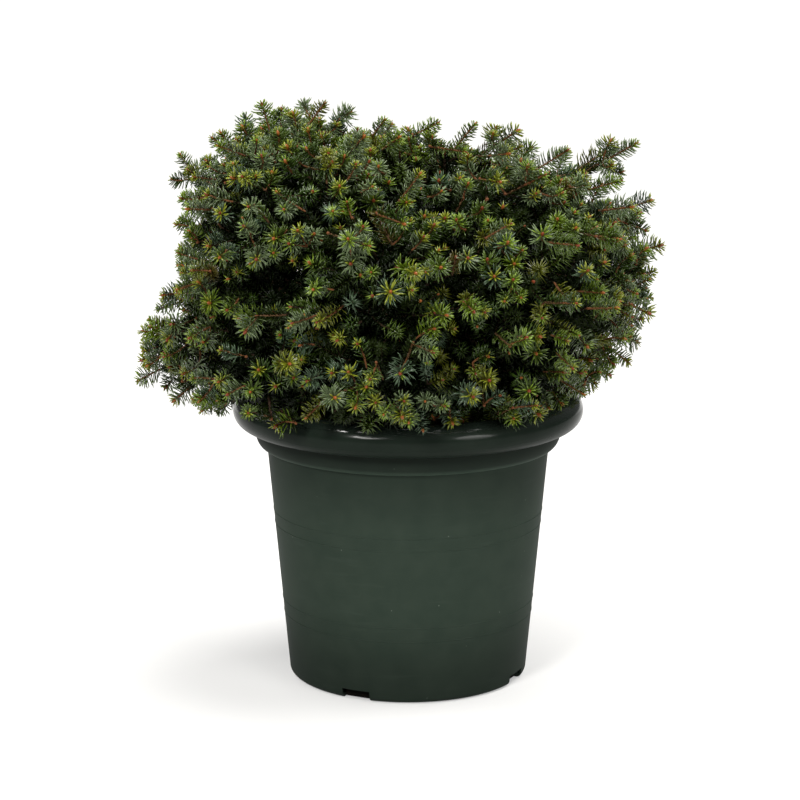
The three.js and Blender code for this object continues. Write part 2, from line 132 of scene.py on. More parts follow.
# Dark hollows between the sprays: the ones that show most, each with its size, then more of them all round
HOLLOWS = (
    (-97, -131, 314, 1.2), (-18, -147, 345, 1.3), (-16, -174, 296, 1.4), (33, -146, 273, 1.05),
    (80, -143, 257, 1.0), (-54, -149, 337, 1.1), (-118, -117, 277, 1.0), (154, -12, 361, 1.2),
    (152, 34, 361, 1.2),
)
HOLLOW_RADII = np.array([31.0, 27.0, 10.5])
HOLLOW_SPACING, HOLLOW_DEPTHS, HOLLOW_TRIES = 2.15, (0.0, 16.0), 4000  # the spacing in hollow radii

# Tips of the longest shoots along the outline
LEADERS = (
    (-105, -20, 427), (-61, 10, 425), (-17, -10, 415), (-120, 30, 413), (-82, -40, 422), (-43, 40, 416),
    (22, 20, 410), (48, -20, 413), (79, -10, 407), (113, -40, 396), (142, 20, 387), (166, 0, 397),
    (152, -30, 373), (178, 10, 354), (183, -20, 325), (171, 40, 322), (183, 20, 300), (176, -30, 288),
    (-166, 0, 389), (-152, -50, 378), (-167, 30, 355), (-144, 20, 399), (-160, -20, 333), (-169, 10, 306),
    (-179, -10, 284), (-187, 20, 271), (-195, -10, 260), (-197, 20, 245), (-199, -10, 223), (-171, -30, 212),
    (-148, -60, 211), (155, 20, 255), (161, -30, 268), (149, -20, 238), (140, 10, 217), (-135, -15, 406),
    (-118, -35, 412),
)

# Depths under the outside of the crown, where looks change; below some of them twigs and needles are painted
# dark as shade
TURN_DEPTH = 40  # outer tips bend round to the outside
DARK_TWIG_DEPTH, SCALE_DEPTH, BUD_DEPTH = 26, 28, 34
DENSE_DEPTH, SPARSE_DEPTH = 30, 45  # needles stand closest above the first, and widest apart below the second
SLIM_DEPTH, BROAD_DEPTH = 28, 40  # needles have fewer faces below the first, and broad roots below the second
OLD_DEPTH, TIP_DEPTH, FRESH_DEPTH, INNER_DEPTH = 24, 28, 32, 38  # tones of needles

# Twigs and buds
VIGOUR = (0.72, 1.2)  # how large the needles and buds of a shoot are
TWIG_RADIUS, TWIG_PER_YEAR, TWIG_YEARS, TWIG_TAPER, TWIG_LAP = 0.56, 0.15, 5, 0.12, 0.5
KNOBS, KNOB_SWELLING = 2, (1.25, 0.85)  # swellings along a twig that shows
BUD_HEIGHTS = np.array([-1.8, -1.6, 0.2, 1.4, 2.4])
BUD_RADII = np.array([0, 0.8, 1.2, 0.7, 0])
SCALE_HEIGHTS = np.array([-1.6, -1.4, 0.4, 1.8, 2.0])
SCALE_RISE = np.array([0, 0.0, 0.3, 0.15, 0])
RIPE_SHARE = 0.55

# Needles: numbers by shoot, places along it, leans in degrees and sizes
NEEDLES_PER_MM = (3.0, 1.6, 1.1)
TIP_NEEDLES, TIP_PER_MM = (18, 15), (2.0, 1.5)
COVER_FROM, COVER_FALL, COVER_LEAST = 110, 60, 0.6
TIP_START, SHOOT_START, NEEDLED, TIP_CROWDING = 0.06, 0.04, 0.94, 0.65
TURN_SPREAD, LEAN_SPREAD, LIFT = 0.25, 7, 0.1
YOUNG_FROM, YOUNG_SHARE, YOUNG_SHORTER = 0.72, 0.28, 0.55  # the youngest needles, at the end of a tip
TIP_LEAN, YOUNG_LEAN, SHOOT_LEAN, SHOOT_LEAN_FALL = 72, 27, 58, 6
NEEDLE_LENGTH, NEEDLE_HALF, NEEDLE_SHOULDER = 9.5, 0.51, 0.76
NEEDLE_LENGTHS, NEEDLE_HALVES, SHOOT_NEEDLE = (0.86, 1.12), (0.85, 1.1), 0.84
NEEDLE_ROOT, NEEDLE_FOOT, POINT_BEND = 0.6, 0.75, 0.32
BROAD_FOOT, SLIM_FOOT = 2.6, 1.8
FRESH_FROM = (0.70, 1.0)
GOLDEN = math.pi * (3 - math.sqrt(5))

rng = np.random.default_rng(11)


def unit(v):
    return v / np.linalg.norm(v, axis=-1, keepdims=True)


def between(spread):
    return spread[0] + (spread[1] - spread[0]) * rng.random()


def across(headings):
    """Two directions square to these headings and to each other."""
    aside = np.where(np.abs(headings[..., 2:3]) < STEEP, [0, 0, 1.0], [1.0, 0, 0])
    right = unit(np.cross(headings, aside))
    return right, np.cross(headings, right)


# Modelling helpers
def start_piece():
    if bpy.context.object and bpy.context.object.mode != "OBJECT":
        bpy.ops.object.mode_set(mode="OBJECT")
    bpy.ops.object.select_all(action="DESELECT")


def apply_modifier(piece, kind, **settings):
    start_piece()
    piece.select_set(True)
    bpy.context.view_layer.objects.active = piece
    bpy.ops.object.modifier_add(type=kind)
    modifier = piece.modifiers[-1]
    for name, value in settings.items():
        setattr(modifier, name, value)
    bpy.ops.object.modifier_apply(modifier=modifier.name)


def smooth(piece, degrees):
    start_piece()
    piece.select_set(True)
    bpy.context.view_layer.objects.active = piece
    bpy.ops.object.shade_smooth_by_angle(angle=math.radians(degrees))


def spin_profile(name, profile, facets):
    """A closed body turned about Z from a profile of (radius, height) that begins and ends on the axis."""
    start_piece()
    bpy.ops.mesh.primitive_plane_add(size=MM)
    piece = bpy.context.object
    piece.name = name
    bpy.ops.object.mode_set(mode="EDIT")
    bpy.ops.mesh.select_all(action="SELECT")
    bpy.ops.mesh.merge(type="CENTER")
    bpy.ops.transform.translate(value=(profile[0][0] * MM, 0, profile[0][1] * MM))
    for (r0, z0), (r1, z1) in zip(profile, profile[1:]):
        move = ((r1 - r0) * MM, 0, (z1 - z0) * MM)
        bpy.ops.mesh.extrude_region_move(TRANSFORM_OT_translate={"value": move})
    bpy.ops.mesh.select_all(action="SELECT")
    bpy.ops.mesh.spin(steps=facets, angle=2 * math.pi, center=(0, 0, 0), axis=(0, 0, 1))
    bpy.ops.mesh.select_all(action="SELECT")
    bpy.ops.mesh.remove_doubles(threshold=1e-6)
    bpy.ops.mesh.select_all(action="SELECT")
    bpy.ops.mesh.normals_make_consistent(inside=False)
    bpy.ops.object.mode_set(mode="OBJECT")
    return piece


def turned_box(sides, out, height, turn):
    """A box of these sides, at this radius and height and turned about Z, left in edit mode."""
    start_piece()
    bpy.ops.mesh.primitive_cube_add(size=1)
    bpy.ops.object.mode_set(mode="EDIT")
    bpy.ops.mesh.select_all(action="SELECT")
    bpy.ops.transform.resize(value=[side * MM for side in sides])
    bpy.ops.transform.translate(value=(out * MM, 0, height * MM))
    bpy.ops.transform.rotate(value=-math.radians(turn), orient_axis="Z", center_override=(0, 0, 0))
    return bpy.context.object


def joined_mesh(name, corners, faces):
    """One mesh from arrays of corners, in mm, and triangles."""
    mesh = bpy.data.meshes.new(name)
    mesh.vertices.add(len(corners))
    mesh.vertices.foreach_set("co", (corners * MM).astype(np.float32).ravel())
    mesh.loops.add(faces.size)
    mesh.loops.foreach_set("vertex_index", faces.astype(np.int32).ravel())
    mesh.polygons.add(len(faces))
    mesh.polygons.foreach_set("loop_start", np.arange(0, faces.size, 3, dtype=np.int32))
    mesh.update(calc_edges=True)
    mesh.shade_smooth()
    piece = bpy.data.objects.new(name, mesh)
    bpy.context.collection.objects.link(piece)
    return piece


def arc(centre, height, radius, start, end, steps):
    angles = np.radians(np.linspace(start, end, steps + 1))
    return [(centre + radius * math.cos(a), height + radius * math.sin(a)) for a in angles]


# Materials
def plain_material(name, colour, roughness, specular=0.5):
    material = bpy.data.materials.new(name)
    material.use_nodes = True
    shader = material.node_tree.nodes["Principled BSDF"]
    shader.inputs["Base Color"].default_value = (*colour, 1)
    shader.inputs["Roughness"].default_value = roughness
    shader.inputs["Specular IOR Level"].default_value = specular
    return material


def noise_node(tree, scale, detail, stretch=(1, 1, 1)):
    coordinates = tree.nodes.new("ShaderNodeTexCoord")
    mapping = tree.nodes.new("ShaderNodeMapping")
    mapping.inputs["Scale"].default_value = stretch
    noise = tree.nodes.new("ShaderNodeTexNoise")
    noise.inputs["Scale"].default_value = scale
    noise.inputs["Detail"].default_value = detail
    tree.links.new(coordinates.outputs["Object"], mapping.inputs["Vector"])
    tree.links.new(mapping.outputs["Vector"], noise.inputs["Vector"])
    return noise


def ramp_node(tree, source, stops):
    ramp = tree.nodes.new("ShaderNodeValToRGB")
    for end in (0, -1):
        ramp.color_ramp.elements[end].position = stops[end][0]
        ramp.color_ramp.elements[end].color = (*stops[end][1], 1)
    for position, colour in stops[1:-1]:
        ramp.color_ramp.elements.new(position).color = (*colour, 1)
    tree.links.new(source, ramp.inputs["Fac"])
    return ramp


def range_node(tree, source, from_range, to_range):
    node = tree.nodes.new("ShaderNodeMapRange")
    for name, value in zip(("From Min", "From Max", "To Min", "To Max"), (*from_range, *to_range)):
        node.inputs[name].default_value = value
    tree.links.new(source, node.inputs["Value"])
    return node


def rough_material(name, stops, roughness, scale, bump, specular=0.5):
    """A mottled material: colours along a noise, and a fine bump from it."""
    material = plain_material(name, stops[0][1], roughness[0], specular)
    tree = material.node_tree
    shader = tree.nodes["Principled BSDF"]
    noise = noise_node(tree, scale, GRAIN_DETAIL)
    colours = ramp_node(tree, noise.outputs["Fac"], stops)
    tree.links.new(colours.outputs["Color"], shader.inputs["Base Color"])
    spread = range_node(tree, noise.outputs["Fac"], (0, 1), roughness)
    tree.links.new(spread.outputs["Result"], shader.inputs["Roughness"])
    relief = tree.nodes.new("ShaderNodeBump")
    relief.inputs["Strength"].default_value = bump
    relief.inputs["Distance"].default_value = MM
    tree.links.new(noise.outputs["Fac"], relief.inputs["Height"])
    tree.links.new(relief.outputs["Normal"], shader.inputs["Normal"])
    return material


# Pot
def wall_radius(height):
    return BASE_RADIUS + (WALL_TOP_RADIUS - BASE_RADIUS) * (height - FOOT_ROUND) / (WALL_TOP - FOOT_ROUND)


def collar_curve(inset, steps):
    (low_radius, low), (high_radius, high) = COLLAR_LOW, COLLAR_HIGH
    wide, tall = high_radius - low_radius, high - low
    turns = np.linspace(0, math.pi / 2, steps + 1)
    return [(low_radius + wide * math.sin(a) - inset, low + tall * (1 - math.cos(a))) for a in turns]


def pot_profile():
    inside = ROLL_RADIUS - WALL
    inner_meet = math.degrees(math.acos((COLLAR_HIGH[0] - ROLL_CENTRE) / inside))
    outer_meet = math.degrees(math.acos((COLLAR_HIGH[0] - WALL - ROLL_CENTRE) / ROLL_RADIUS))
    wall = []
    for ring in RINGS:
        for step, rise in RING_SHAPE:
            height = ring + step * RING_HALF
            wall.append((wall_radius(height) + rise * RING_RISE, height))
    heights = np.linspace(FOOT_ROUND, WALL_TOP, WALL_STEPS)[1:-1]
    wall += [(wall_radius(h), h) for h in heights if min(abs(h - ring) for ring in RINGS) > 2 * RING_HALF]
    wall.sort(key=lambda point: point[1])
    inner = [
        (BASE_RADIUS + WALL / 4 - WALL, POT_FLOOR),
        (WALL_TOP_RADIUS - WALL, WALL_TOP),
        *collar_curve(WALL, INNER_COLLAR_STEPS),
    ]
    return [
        (0, 0),
        *arc(BASE_RADIUS - FOOT_ROUND, FOOT_ROUND, FOOT_ROUND, -90, 0, FOOT_STEPS),
        *wall,
        (WALL_TOP_RADIUS, WALL_TOP),
        *collar_curve(0, COLLAR_STEPS),
        *arc(ROLL_CENTRE, ROLL_HEIGHT, inside, inner_meet, ROLL_LIP, UNDER_ROLL_STEPS),
        *arc(ROLL_CENTRE, ROLL_HEIGHT, ROLL_RADIUS, ROLL_LIP, outer_meet, ROLL_STEPS),
        *reversed(inner),
        (0, POT_FLOOR),
    ]


pot = spin_profile("pot_shell", pot_profile(), POT_FACETS)
for turn in DRAIN_TURNS:
    notch = turned_box(DRAIN_SIZE, BASE_RADIUS, 0, turn)
    bpy.ops.object.mode_set(mode="OBJECT")
    apply_modifier(pot, "BOOLEAN", operation="DIFFERENCE", object=notch, solver="EXACT")
    bpy.data.objects.remove(notch)
smooth(pot, 30)


def pot_plastic():
    """Dark green moulded plastic: mottled, duller on the wall than on the rim, with specks and scuffs, and
    painted shade and a painted highlight line by height.
    """
    material = rough_material("pot_plastic", POT_GREENS, (WALL_GLOSS, WALL_GLOSS), GRAIN_SCALE, GRAIN_BUMP)
    tree = material.node_tree
    shader = tree.nodes["Principled BSDF"]
    green = shader.inputs["Base Color"].links[0].from_socket
    grain = noise_node(tree, GRAIN_SCALE, GRAIN_DETAIL)
    coordinates = tree.nodes.new("ShaderNodeTexCoord")

    axes = tree.nodes.new("ShaderNodeSeparateXYZ")
    tree.links.new(coordinates.outputs["Object"], axes.inputs["Vector"])
    gloss_heights = (COLLAR_HIGH[1] * MM, (ROLL_HEIGHT + RIM_GLOSS_TO) * MM)
    gloss = range_node(tree, axes.outputs["Z"], gloss_heights, (WALL_GLOSS, RIM_GLOSS))
    shine_heights = ((ROLL_HEIGHT + RIM_SHINE_FROM) * MM, (ROLL_HEIGHT + RIM_SHINE_TO) * MM)
    shine = range_node(tree, axes.outputs["Z"], shine_heights, (WALL_SHINE, RIM_SHINE))
    tree.links.new(shine.outputs["Result"], shader.inputs["Specular IOR Level"])
    uneven = tree.nodes.new("ShaderNodeMath")
    uneven.operation = "MULTIPLY_ADD"
    uneven.inputs[1].default_value = GRAIN_GLOSS
    tree.links.new(grain.outputs["Fac"], uneven.inputs[0])
    tree.links.new(gloss.outputs["Result"], uneven.inputs[2])
    tree.links.new(uneven.outputs["Value"], shader.inputs["Roughness"])

    scuffs = noise_node(tree, SCUFF_SCALE, SCUFF_DETAIL, SCUFF_STRETCH)
    scuffed = ramp_node(tree, scuffs.outputs["Fac"], ((SCUFF_EDGES[0], BLACK), (SCUFF_EDGES[1], WHITE)))
    cells = tree.nodes.new("ShaderNodeTexVoronoi")
    cells.inputs["Scale"].default_value = SPECK_CELLS
    tree.links.new(coordinates.outputs["Object"], cells.inputs["Vector"])
    specks = ramp_node(tree, cells.outputs["Distance"], ((SPECK_EDGES[0], WHITE), (SPECK_EDGES[1], BLACK)))
    colour = green
    for pale, mark in ((SCUFF_GREY, scuffed), (SPECK_GREY, specks)):
        mix = tree.nodes.new("ShaderNodeMix")
        mix.data_type = "RGBA"
        mix.inputs["B"].default_value = (*pale, 1)
        tree.links.new(mark.outputs["Color"], mix.inputs["Factor"])
        tree.links.new(colour, mix.inputs["A"])
        colour = mix.outputs["Result"]
    # Painted shade and light: the base colour is multiplied darker at the foot, the collar and the rim, and
    # lighter along a line under the collar
    height = range_node(tree, axes.outputs["Z"], (0, (ROLL_HEIGHT + ROLL_RADIUS) * MM), (0, 1))
    painted_shade_ramp = ramp_node(tree, height.outputs["Result"], [(place, (pale,) * 3) for place, pale in POT_PAINTED_SHADE])
    painted_shade_mix = tree.nodes.new("ShaderNodeMix")
    painted_shade_mix.data_type = "RGBA"
    painted_shade_mix.blend_type = "MULTIPLY"
    painted_shade_mix.inputs["Factor"].default_value = 1.0
    tree.links.new(colour, painted_shade_mix.inputs["A"])
    tree.links.new(painted_shade_ramp.outputs["Color"], painted_shade_mix.inputs["B"])
    tree.links.new(painted_shade_mix.outputs["Result"], shader.inputs["Base Color"])
    return material


pot.data.materials.append(pot_plastic())

# Soil
soil_radius = COLLAR_HIGH[0] - WALL - SOIL_GAP
soil_rings = np.linspace(soil_radius - SOIL_STEP, SOIL_STEP, SOIL_RINGS)
soil_floor = SOIL_LEVEL - SOIL_DEEP
soil = spin_profile(
    "soil_fill",
    [(0, soil_floor), (soil_radius, soil_floor), (soil_radius, SOIL_LEVEL - SOIL_DROP)]
    + [(r, SOIL_LEVEL - SOIL_DROP * (r / soil_radius) ** SOIL_ROUND) for r in soil_rings]
    + [(0, SOIL_LEVEL)],
    SOIL_FACETS,
)
lumps = bpy.data.textures.new("soil_lumps", "CLOUDS")
lumps.noise_scale = 0.012
lumps.noise_depth = 3
apply_modifier(
    soil, "DISPLACE", texture=lumps, texture_coords="LOCAL", strength=0.004, mid_level=0.85, direction="Z"
)
smooth(soil, 60)
for name, stops, specular in (("compost", COMPOST, 0.2), ("notch_shade_compost", NOTCH_SHADE_COMPOST, 0.05)):
    compost = rough_material(name, stops, roughness=(0.8, 1.0), scale=220, bump=0.8, specular=specular)
    soil.data.materials.append(compost)
plug_size = (PLUG_DEEP, DRAIN_SIZE[1] - PLUG_GAP, DRAIN_SIZE[2] / 2 - PLUG_GAP)
for turn in DRAIN_TURNS:
    plug = turned_box(plug_size, PLUG_OUT, DRAIN_SIZE[2] / 4, turn)
    bpy.ops.mesh.bevel(offset=PLUG_ROUND * MM, segments=2)
    bpy.ops.mesh.select_all(action="SELECT")
    bpy.ops.mesh.subdivide(number_cuts=3)
    bpy.ops.object.mode_set(mode="OBJECT")
    # The soil in each notch takes the near-black compost: painted shade
    plug.data.materials.append(soil.data.materials["notch_shade_compost"])
    plug.select_set(True)
    soil.select_set(True)
    bpy.context.view_layer.objects.active = soil
    bpy.ops.object.join()


# Masses and their spaces
def ring_masses(kind, count, middle, out, height, radii, branch, limb):
    angles = 2 * math.pi * np.arange(count) / count
    return [
        dict(
            name=f"{kind}_{i + 1}",
            centre=np.array([middle + out * math.cos(a), out * math.sin(a), height]),
            radii=np.array(radii, float),
            branch=branch,
            limb=limb,
        )
        for i, a in enumerate(angles)
    ]


masses = ring_masses(**SKIRT) + ring_masses(**MIDDLE)
masses += [
    dict(
        name=f"crest_{name}",
        centre=np.array([x, y, z], float),
        radii=np.array(CREST_RADII, float),
        branch=CREST_BRANCH,
        limb=CREST_LIMB,
    )
    for name, x, y, z in CREST
]
masses.append(
    dict(
        name="nest",
        centre=np.array(NEST_CENTRE, float),
        radii=np.array(NEST_RADII, float),
        branch=None,
        limb=NEST_LIMB,
    )
)
centres = np.array([mass["centre"] for mass in masses])
all_radii = np.array([mass["radii"] for mass in masses])
rounds = np.vstack([centres, HEART])
round_radii = np.vstack([all_radii, HEART_SHARE * HEART_RADII])


def space_planes(mass):
    """Normals and offsets of the planes that bound a mass: its side is where normal . point > offset."""
    centre = mass["centre"]
    others = centres[np.linalg.norm(centres - centre, axis=1) > 0]
    normals = unit(centre - others)
    offsets = np.sum(normals * ((centre + others) / 2), axis=1) + HALF_GAP
    away = centre - HEART
    touch = HEART + away / np.linalg.norm(away / HEART_RADII)
    heart_normal = unit((touch - HEART) / HEART_RADII**2)
    slope = math.radians(RIM_SLOPE)
    outward = unit(np.array([centre[0], centre[1], 0]))
    rim_normal = outward * math.sin(slope) + np.array([0, 0, math.cos(slope)])
    rim_offset = ROLL_CENTRE * math.sin(slope) + ROLL_HEIGHT * math.cos(slope) + ROLL_RADIUS + HALF_GAP
    normals = np.vstack([normals, heart_normal, rim_normal])
    offsets = np.concatenate([offsets, [heart_normal @ touch, rim_offset]])
    return normals, offsets


def reach_in_round(centre, radii, point, direction):
    start, along = (point - centre) / radii, direction / radii
    a, b, c = along @ along, start @ along, start @ start - 1
    return 0.0 if c > 0 else (math.sqrt(b * b - a * c) - b) / a


def reach_in_planes(planes, point, direction):
    normals, offsets = planes
    closing = -normals @ direction
    distance = np.maximum(normals @ point - offsets, 0)
    return np.min(np.where(closing > TINY, distance / np.maximum(closing, TINY), np.inf))


def turned(heading, angle, roll):
    right, up = across(heading)
    return heading * math.cos(angle) + (right * math.cos(roll) + up * math.sin(roll)) * math.sin(angle)


# Limbs: the stem, and each bough carried on to the middle of its mass
stem_foot = np.array([0, 0, SOIL_LEVEL - STEM_SUNK])
stem_tip = np.array([*STEM_LEAN, STEM_TOP])
stem_bend = np.array([0, 0, (stem_foot[2] + STEM_TOP) / 2])


def on_stem(height):
    t = (height - stem_foot[2]) / (STEM_TOP - stem_foot[2])
    return (1 - t) ** 2 * stem_foot + 2 * t * (1 - t) * stem_bend + t * t * stem_tip


def bezier(points, t):
    a, b, c = points
    t = np.asarray(t)[..., None]
    return (1 - t) ** 2 * a + 2 * t * (1 - t) * b + t * t * c


def bezier_tangent(points, t):
    a, b, c = points
    t = np.asarray(t)[..., None]
    return unit((1 - t) * (b - a) + t * (c - b))


def add_limb(points, radii, fineness):
    """A tapering round limb through these points, with its ends closed."""
    start_piece()
    bpy.ops.curve.primitive_nurbs_path_add()
    limb = bpy.context.object
    bpy.ops.object.mode_set(mode="EDIT")
    bpy.ops.curve.select_all(action="SELECT")
    while len(limb.data.splines[0].points) < len(points):
        bpy.ops.curve.subdivide()
    bpy.ops.object.mode_set(mode="OBJECT")
    spline = limb.data.splines[0]
    places = np.linspace(0, 1, len(spline.points))
    known = np.linspace(0, 1, len(points))
    for place, point in zip(places, spline.points):
        point.co = (*[np.interp(place, known, points[:, axis]) * MM for axis in range(3)], 1)
        point.radius = np.interp(place, known, radii)
    limb.data.dimensions = "3D"
    limb.data.bevel_depth = MM
    limb.data.bevel_resolution = 5
    limb.data.resolution_u = fineness
    limb.data.use_fill_caps = True
    bpy.ops.object.convert(target="MESH")
    return bpy.context.object


heights = np.linspace(stem_foot[2], STEM_TOP, STEM_POINTS)
along = np.linspace(0, 1, STEM_POINTS)
stem_radii = STEM_FOOT_RADIUS + (STEM_TOP_RADIUS - STEM_FOOT_RADIUS) * along
stem_radii = stem_radii + STEM_FLARE * np.exp(-FLARE_FALL * along)
limbs = [add_limb(np.array([on_stem(h) for h in heights]), stem_radii, STEM_FINENESS)]
limb_points = []
for mass in masses:
    heading = unit(mass["centre"] - FORK)
    tip = FORK + heading * reach_in_round(HEART, HEART_RADII, FORK, heading)
    if mass["branch"] is None:
        root = stem_tip - (stem_tip - stem_bend) * NEST_SUNK
        knee = root + unit(stem_tip - stem_bend) * KNEE * np.linalg.norm(tip - root)
    else:
        root = on_stem(mass["branch"])
        knee = tip - heading * KNEE * np.linalg.norm(tip - root)
    bough = np.array([root, knee, tip])
    mass["heading"] = bezier_tangent(bough, 1.0)
    bend = tip + mass["heading"] * KNEE * np.linalg.norm(mass["centre"] - tip)
    carried = np.array([tip, bend, mass["centre"]])
    first_part = bezier(bough, np.linspace(0, 1, BOUGH_POINTS))
    last_part = bezier(carried, np.linspace(0, 1, CARRIED_POINTS)[1:])
    path = np.vstack([first_part, last_part])
    limb_points.append(path)
    thick, thin = mass["limb"]
    limbs.append(add_limb(path, np.linspace(thick, LIMB_END * thin, len(path)), BOUGH_FINENESS))
start_piece()
for limb in limbs:
    limb.select_set(True)
bark = limbs[0]
bpy.context.view_layer.objects.active = bark
bpy.ops.object.join()
bark.name = "bark_limbs"
ridges = bpy.data.textures.new("bark_ridges", "CLOUDS")
ridges.noise_scale = 0.006
ridges.noise_depth = 2
apply_modifier(bark, "DISPLACE", texture=ridges, texture_coords="LOCAL", strength=0.0022, mid_level=0.5)
smooth(bark, 60)
bark.data.materials.append(
    rough_material("bark", BARK, roughness=(0.75, 0.95), scale=260, bump=0.9, specular=0.25)
)


# Shoots
def shares_by_round(points):
    """How far points lie from the centre of each round, as a share of its reach: 1 on its outside."""
    return np.linalg.norm((points[:, None, :] - rounds) / round_radii, axis=2)


def share_out(points):
    """How far out points lie in the crown, with the creases between neighbouring rounds filled softly."""
    return -np.log(np.sum(np.exp(-BLEND * shares_by_round(points)), axis=1)) / BLEND


def outside_depth(points):
    """How deep points lie under the outside of the crown, in mm."""
    return (1 - share_out(points)) * MEAN_RADIUS


def facing_out(points):
    """The directions to the outside: half from the crown's heart, and half square to the mass's round."""
    nearest = shares_by_round(points)[:, : len(masses)].argmin(axis=1)
    square = (points - centres[nearest]) / all_radii[nearest] ** 2
    return unit(unit(points - HEART) + unit(square + TINY))


def clear_of_pot(points):
    """Which points lie clear of the pot: above the soil, and outside it above the rim or a little lower."""
    radius = np.hypot(points[:, 0], points[:, 1])
    off_rim = np.hypot(radius - ROLL_CENTRE, points[:, 2] - ROLL_HEIGHT) > ROLL_RADIUS + RIM_CLEAR
    hang = RIM_TOP - HANG_SLOPE * np.maximum(radius - ROLL_CENTRE, 0)
    return off_rim & (points[:, 2] > np.where(radius > ROLL_CENTRE, hang, SOIL_LEVEL + SOIL_CLEAR))


crown_low = (centres - all_radii).min(axis=0)
crown_high = (centres + all_radii).max(axis=0)
hollows = np.array(HOLLOWS)[:, :3]
hollow_sizes = np.array(HOLLOWS)[:, 3]
for point in rng.uniform(crown_low, crown_high, (HOLLOW_TRIES, 3)):
    depth = outside_depth(point[None])[0]
    apart = np.min(np.linalg.norm((hollows - point) / HOLLOW_RADII, axis=1))
    if HOLLOW_DEPTHS[0] < depth < HOLLOW_DEPTHS[1] and apart > HOLLOW_SPACING:
        hollows = np.vstack([hollows, point])
        hollow_sizes = np.append(hollow_sizes, 1.0)

wave_turns = rng.uniform(0, 2 * math.pi, WAVES)
wave_flat = 2 * math.pi / rng.uniform(*WAVE_WIDTHS, WAVES)
wave_steep = 2 * math.pi / rng.uniform(*WAVE_HEIGHTS, WAVES)
wave_x, wave_y = wave_flat * np.cos(wave_turns), wave_flat * np.sin(wave_turns)
wave_vectors = np.stack([wave_x, wave_y, wave_steep], axis=1)
wave_starts = rng.uniform(0, 2 * math.pi, WAVES)


def has_room(points):
    """Which points lie inside the crown's layers, out of its hollows and clear of the pot."""
    waves = math.sqrt(2 / WAVES) * np.sin(points @ wave_vectors.T + wave_starts).sum(axis=1)
    inside = share_out(points) < LAYER_SHARE + LAYER_RISE * waves
    full = np.all(np.linalg.norm((points[:, None] - hollows) / HOLLOW_RADII, axis=2) > hollow_sizes, axis=1)
    return inside & full & clear_of_pot(points)


starts, ends, parents = [], [], []
end_array = np.full((MOST_SHOOTS, 3), FAR)


def add_shoot(start, end, parent):
    starts.append(start)
    ends.append(end)
    parents.append(parent)
    end_array[len(ends) - 1] = end
    return len(ends) - 1


def crowded(end, clear):
    """Whether a shoot already ends this near. One far point after the last end is compared as well."""
    return np.min(np.sum((end_array[: len(ends) + 1] - end) ** 2, axis=1)) < clear * clear


def grow_shoots(mass):
    """The part's rule: every tip puts out a leader and a whorl of side shoots that lean outwards."""
    planes = space_planes(mass)
    tips = [(mass["centre"], mass["heading"], -1)]
    for year in range(YEARS):
        side, count = (FIRST_ANGLE, FIRST_WHORL) if year == 0 else (SIDE_ANGLE, WHORL)
        grown = []
        for at, heading, parent in tips:
            roll = rng.random() * 2 * math.pi
            outward = facing_out(at[None])[0]
            for i in range(count + 1):
                angle = 0 if i == 0 else side * between(ANGLE_SPREAD)
                direction = unit(turned(heading, angle, roll + 2 * math.pi * i / count) + PULL * outward)
                share = between(ROUND_SPREAD)
                free = min(
                    reach_in_round(mass["centre"], mass["radii"] * share, at, direction),
                    reach_in_planes(planes, at, direction),
                )
                wanted = STEP * between(LENGTH_SPREAD)
                length = min(free, wanted + SHORTEST) if free < wanted + SHORTEST else wanted
                end = at + direction * length
                if length >= SHORTEST and has_room(end[None])[0] and not crowded(end, CLEAR):
                    grown.append((end, direction, add_shoot(at, end, parent)))
        tips = grown


def fill_crown():
    """More shoots where the crown is still open, each from the nearest limb or tip farther in."""
    anchors = np.vstack(limb_points)
    tries = rng.uniform(crown_low, crown_high, (FILL_TRIES, 3))
    for end in tries[has_room(tries)]:
        if crowded(end, FILL_CLEAR):
            continue
        bases = np.vstack([anchors, end_array[: len(ends)]])
        way = end - bases
        distance = np.linalg.norm(way, axis=1)
        leaning = way @ unit(end - FOOT) > FILL_LEAN * distance
        distance = np.where(leaning & (distance > SHORTEST), distance, np.inf)
        base = int(np.argmin(distance))
        if distance[base] < FILL_REACH:
            add_shoot(bases[base], end, max(base - len(anchors), -1))


for mass in masses:
    grow_shoots(mass)
fill_crown()


def add_leader(leader):
    """One of the longest shoots, out of the crown from the nearest end behind it, with a few side shoots."""
    inner = np.array(ends)
    distance = np.linalg.norm(inner - leader, axis=1)
    outward = unit((leader - LEADER_FROM) * LEADER_FLAT)
    behind = np.sum((leader - inner) * outward, axis=1) > LEADER_LEAN * distance
    choice = np.where(behind & (distance > LEADER_GAP), distance, np.inf)
    parent = int(np.argmin(choice))
    if choice[parent] > LEADER_REACH:
        return
    steps = max(1, round(choice[parent] / LEADER_STEP))
    base = inner[parent]
    for step in range(steps):
        end = base + (leader - base) / (steps - step)
        direction = unit(end - base)
        shoot = add_shoot(base, end, parent)
        straight.append(shoot)
        if step < steps - 1:
            roll = rng.random() * 2 * math.pi
            for i in range(LEADER_SIDES):
                angle = SIDE_ANGLE * between(ANGLE_SPREAD)
                aside = turned(direction, angle, roll + 2 * math.pi * i / LEADER_SIDES)
                side_end = end + aside * STEP * between(LEADER_SIDE_LENGTHS)
                if not crowded(side_end, LEADER_SIDE_CLEAR * CLEAR):
                    add_shoot(end, side_end, shoot)
        base, parent = end, shoot


leaders = np.array(LEADERS, float)
straight = []
for point in rng.uniform(crown_low, crown_high, (LEADER_TRIES, 3)):
    depth = outside_depth(point[None])[0]
    apart = np.min(np.linalg.norm(leaders - point, axis=1))
    if LEADER_DEPTHS[0] < depth < LEADER_DEPTHS[1] and apart > LEADER_SPACING and point[2] > LEADER_LOW:
        leaders = np.vstack([leaders, point])
for leader in leaders:
    add_leader(leader)

